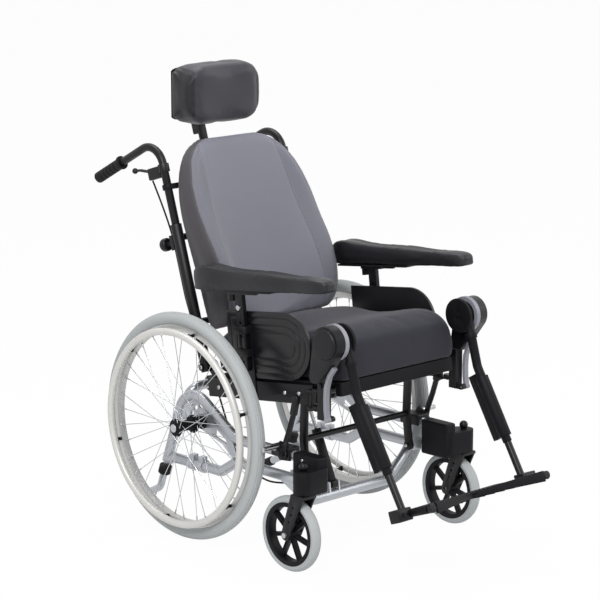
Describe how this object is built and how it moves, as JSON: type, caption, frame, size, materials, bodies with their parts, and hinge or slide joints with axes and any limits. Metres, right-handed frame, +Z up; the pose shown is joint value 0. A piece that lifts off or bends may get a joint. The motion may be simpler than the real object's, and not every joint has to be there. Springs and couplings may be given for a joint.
{
  "type": "tilt in space wheelchair",
  "caption": "Manual tilt in space wheelchair with large spoked rear wheels, swivelling castors, reclining padded back, headrest, armrests and elevating leg rests.",
  "frame": {"origin": "on the floor under the middle of the chair's length and width", "axes": "+X towards the occupant's left, +Y towards the rear, +Z up"},
  "size_m": [0.703, 1.274, 1.223],
  "materials": {
    "silver_paint": "satin",
    "black_paint": "satin",
    "steel": "satin",
    "aluminium": "satin",
    "grey_tyre": "matte",
    "rubber": "matte",
    "black_plastic": "matte",
    "grey_plastic": "matte",
    "pale_plastic": "matte",
    "dark_fabric": "matte",
    "slate_fabric": "matte",
    "pad_skin": "satin"
  },
  "bodies": {
    "base": {"base_frame": "silver_paint", "castor_housings": "grey_plastic", "wheel_lock_brackets": "black_paint", "wheel_axles": "steel", "front_stand": "black_paint", "tilt_cable_lower": "rubber"},
    "seat": {"seat_frame": "black_paint", "seat_pan": "black_plastic", "seat_cushion": "dark_fabric", "side_panels": "black_plastic"},
    "back": {"back_frame": "black_paint", "back_shell": "black_plastic", "back_cushion": "slate_fabric"},
    "tilt_cylinder": {"tilt_cylinder": "black_paint"},
    "tilt_rod": {"tilt_rod": "steel"},
    "headrest_bar": {"headrest_bar": "black_paint"},
    "headrest_pad": {"headrest_pad": "pad_skin"},
    "rear_wheel_left": {"rear_tyre_left": "grey_tyre", "rear_rim_left": "aluminium", "spokes_left": "steel", "rear_hub_left": "aluminium", "push_rim_left": "silver_paint"},
    "castor_fork_left": {"castor_fork_left": "black_paint"},
    "castor_wheel_left": {"castor_wheel_left": "black_plastic", "castor_tyre_left": "grey_tyre"},
    "wheel_lock_lever_left": {"wheel_lock_lever_left": "black_paint"},
    "anti_tipper_left": {"anti_tipper_left": "silver_paint"},
    "armrest_left": {"armrest_post_left": "black_paint"},
    "arm_pad_left": {"arm_pad_left": "pad_skin"},
    "push_handle_left": {"push_handle_left": "black_paint", "grip_left": "rubber"},
    "release_lever_left": {"release_lever_left": "black_paint"},
    "leg_hanger_left": {"leg_hanger_left": "black_paint"},
    "leg_lever_left": {"leg_lever_left": "pale_plastic"},
    "leg_upper_left": {"leg_upper_left": "black_paint", "calf_sleeve_left": "black_plastic"},
    "leg_lower_left": {"leg_lower_left": "black_paint"},
    "foot_plate_left": {"foot_plate_left": "black_plastic"},
    "rear_wheel_right": {"rear_tyre_right": "grey_tyre", "rear_rim_right": "aluminium", "spokes_right": "steel", "rear_hub_right": "aluminium", "push_rim_right": "silver_paint"},
    "castor_fork_right": {"castor_fork_right": "black_paint"},
    "castor_wheel_right": {"castor_wheel_right": "black_plastic", "castor_tyre_right": "grey_tyre"},
    "wheel_lock_lever_right": {"wheel_lock_lever_right": "black_paint"},
    "anti_tipper_right": {"anti_tipper_right": "silver_paint"},
    "armrest_right": {"armrest_post_right": "black_paint"},
    "arm_pad_right": {"arm_pad_right": "pad_skin"},
    "push_handle_right": {"push_handle_right": "black_paint", "grip_right": "rubber", "tilt_cable_upper": "rubber"},
    "release_lever_right": {"release_lever_right": "black_paint"},
    "leg_hanger_right": {"leg_hanger_right": "black_paint"},
    "leg_lever_right": {"leg_lever_right": "pale_plastic"},
    "leg_upper_right": {"leg_upper_right": "black_paint", "calf_sleeve_right": "black_plastic"},
    "leg_lower_right": {"leg_lower_right": "black_paint"},
    "foot_plate_right": {"foot_plate_right": "black_plastic"}
  },
  "joints": [
    {"name": "tilt", "type": "hinge", "parent": "base", "child": "seat", "pos_m": [0, 0.236, 0.386], "axis": [-1, 0, 0], "range_deg": [0, 20]},
    {"name": "tilt_cylinder_turn", "type": "hinge", "parent": "base", "child": "tilt_cylinder", "pos_m": [-0.067, -0.139, 0.165], "axis": [1, 0, 0], "range_deg": [0, 3.37]},
    {"name": "tilt_rod_slide", "type": "slide", "parent": "tilt_cylinder", "child": "tilt_rod", "axis": [0, 0.4095, 0.9123], "range_m": [0, 0.09232]},
    {"name": "recline", "type": "hinge", "parent": "seat", "child": "back", "pos_m": [0, 0.186, 0.45], "axis": [-1, 0, 0], "range_deg": [0, 30]},
    {"name": "headrest_height", "type": "slide", "parent": "back", "child": "headrest_bar", "axis": [0, 0.3007, 0.9537], "range_m": [-0.01, 0.05]},
    {"name": "headrest_tip", "type": "hinge", "parent": "headrest_bar", "child": "headrest_pad", "pos_m": [0, 0.461, 1.118], "axis": [1, 0, 0], "range_deg": [-20, 8]},
    {"name": "rear_wheel_spin_left", "type": "hinge", "parent": "base", "child": "rear_wheel_left", "pos_m": [0.305, 0.176, 0.305], "axis": [1, 0, 0], "continuous": true},
    {"name": "castor_swivel_left", "type": "hinge", "parent": "base", "child": "castor_fork_left", "pos_m": [0.298, -0.27, 0.24], "axis": [0, 0, 1], "continuous": true},
    {"name": "castor_spin_left", "type": "hinge", "parent": "castor_fork_left", "child": "castor_wheel_left", "pos_m": [0.298, -0.227, 0.099], "axis": [1, 0, 0], "continuous": true},
    {"name": "wheel_lock_left", "type": "hinge", "parent": "base", "child": "wheel_lock_lever_left", "pos_m": [0.2645, -0.162, 0.287], "axis": [-1, 0, 0], "range_deg": [0, 14]},
    {"name": "anti_tipper_turn_left", "type": "hinge", "parent": "base", "child": "anti_tipper_left", "pos_m": [0.238, 0.325, 0.168], "axis": [0, -0.3411, 0.94], "range_deg": [0, 90]},
    {"name": "armrest_height_left", "type": "slide", "parent": "seat", "child": "armrest_left", "axis": [0, 0.1219, 0.9925], "range_m": [0, 0.06]},
    {"name": "arm_pad_reach_left", "type": "slide", "parent": "armrest_left", "child": "arm_pad_left", "axis": [0, 0.9925, -0.1219], "range_m": [-0.03, 0.03]},
    {"name": "handle_height_left", "type": "slide", "parent": "back", "child": "push_handle_left", "axis": [0, 0.3007, 0.9537], "range_m": [0, 0.06]},
    {"name": "release_lever_squeeze_left", "type": "hinge", "parent": "push_handle_left", "child": "release_lever_left", "pos_m": [0.218, 0.39105, 0.94736], "axis": [1, 0, 0], "range_deg": [0, 15], "stiffness_Nm_per_rad": 0.4, "springref_deg": -17.19},
    {"name": "leg_swing_left", "type": "hinge", "parent": "seat", "child": "leg_hanger_left", "pos_m": [0.243, -0.261, 0.44], "axis": [0, 0, 1], "range_deg": [0, 90]},
    {"name": "leg_lever_press_left", "type": "hinge", "parent": "leg_hanger_left", "child": "leg_lever_left", "pos_m": [0.243, -0.315, 0.405], "axis": [1, 0, 0], "range_deg": [0, 12], "stiffness_Nm_per_rad": 0.4, "springref_deg": -17.19},
    {"name": "knee_left", "type": "hinge", "parent": "leg_hanger_left", "child": "leg_upper_left", "pos_m": [0.222, -0.324, 0.604], "axis": [-1, 0, 0], "range_deg": [0, 58]},
    {"name": "leg_length_left", "type": "slide", "parent": "leg_upper_left", "child": "leg_lower_left", "axis": [0, -0.515, -0.8572], "range_m": [-0.015, 0.08]},
    {"name": "foot_plate_flip_left", "type": "hinge", "parent": "leg_lower_left", "child": "foot_plate_left", "pos_m": [0.212, -0.54778, 0.20342], "axis": [0, 0.9361, -0.3518], "range_deg": [0, 76]},
    {"name": "rear_wheel_spin_right", "type": "hinge", "parent": "base", "child": "rear_wheel_right", "pos_m": [-0.305, 0.176, 0.305], "axis": [1, 0, 0], "continuous": true},
    {"name": "castor_swivel_right", "type": "hinge", "parent": "base", "child": "castor_fork_right", "pos_m": [-0.298, -0.27, 0.24], "axis": [0, 0, 1], "continuous": true},
    {"name": "castor_spin_right", "type": "hinge", "parent": "castor_fork_right", "child": "castor_wheel_right", "pos_m": [-0.298, -0.227, 0.099], "axis": [1, 0, 0], "continuous": true},
    {"name": "wheel_lock_right", "type": "hinge", "parent": "base", "child": "wheel_lock_lever_right", "pos_m": [-0.2645, -0.162, 0.287], "axis": [-1, 0, 0], "range_deg": [0, 14]},
    {"name": "anti_tipper_turn_right", "type": "hinge", "parent": "base", "child": "anti_tipper_right", "pos_m": [-0.238, 0.325, 0.168], "axis": [0, 0.3411, -0.94], "range_deg": [0, 90]},
    {"name": "armrest_height_right", "type": "slide", "parent": "seat", "child": "armrest_right", "axis": [0, 0.1219, 0.9925], "range_m": [0, 0.06]},
    {"name": "arm_pad_reach_right", "type": "slide", "parent": "armrest_right", "child": "arm_pad_right", "axis": [0, 0.9925, -0.1219], "range_m": [-0.03, 0.03]},
    {"name": "handle_height_right", "type": "slide", "parent": "back", "child": "push_handle_right", "axis": [0, 0.3007, 0.9537], "range_m": [0, 0.06]},
    {"name": "release_lever_squeeze_right", "type": "hinge", "parent": "push_handle_right", "child": "release_lever_right", "pos_m": [-0.218, 0.39105, 0.94736], "axis": [1, 0, 0], "range_deg": [0, 15], "stiffness_Nm_per_rad": 0.4, "springref_deg": -17.19},
    {"name": "leg_swing_right", "type": "hinge", "parent": "seat", "child": "leg_hanger_right", "pos_m": [-0.243, -0.261, 0.44], "axis": [0, 0, -1], "range_deg": [0, 90]},
    {"name": "leg_lever_press_right", "type": "hinge", "parent": "leg_hanger_right", "child": "leg_lever_right", "pos_m": [-0.243, -0.315, 0.405], "axis": [1, 0, 0], "range_deg": [0, 12], "stiffness_Nm_per_rad": 0.4, "springref_deg": -17.19},
    {"name": "knee_right", "type": "hinge", "parent": "leg_hanger_right", "child": "leg_upper_right", "pos_m": [-0.222, -0.324, 0.604], "axis": [-1, 0, 0], "range_deg": [0, 58]},
    {"name": "leg_length_right", "type": "slide", "parent": "leg_upper_right", "child": "leg_lower_right", "axis": [0, -0.515, -0.8572], "range_m": [-0.015, 0.08]},
    {"name": "foot_plate_flip_right", "type": "hinge", "parent": "leg_lower_right", "child": "foot_plate_right", "pos_m": [-0.212, -0.54778, 0.20342], "axis": [0, -0.9361, 0.3518], "range_deg": [0, 76]}
  ],
  "couplings": [
    {"joint": "tilt_cylinder_turn", "follows": "tilt", "ratio": 0.16599},
    {"joint": "tilt_rod_slide", "follows": "tilt", "m_per_rad": 0.26304}
  ]
}
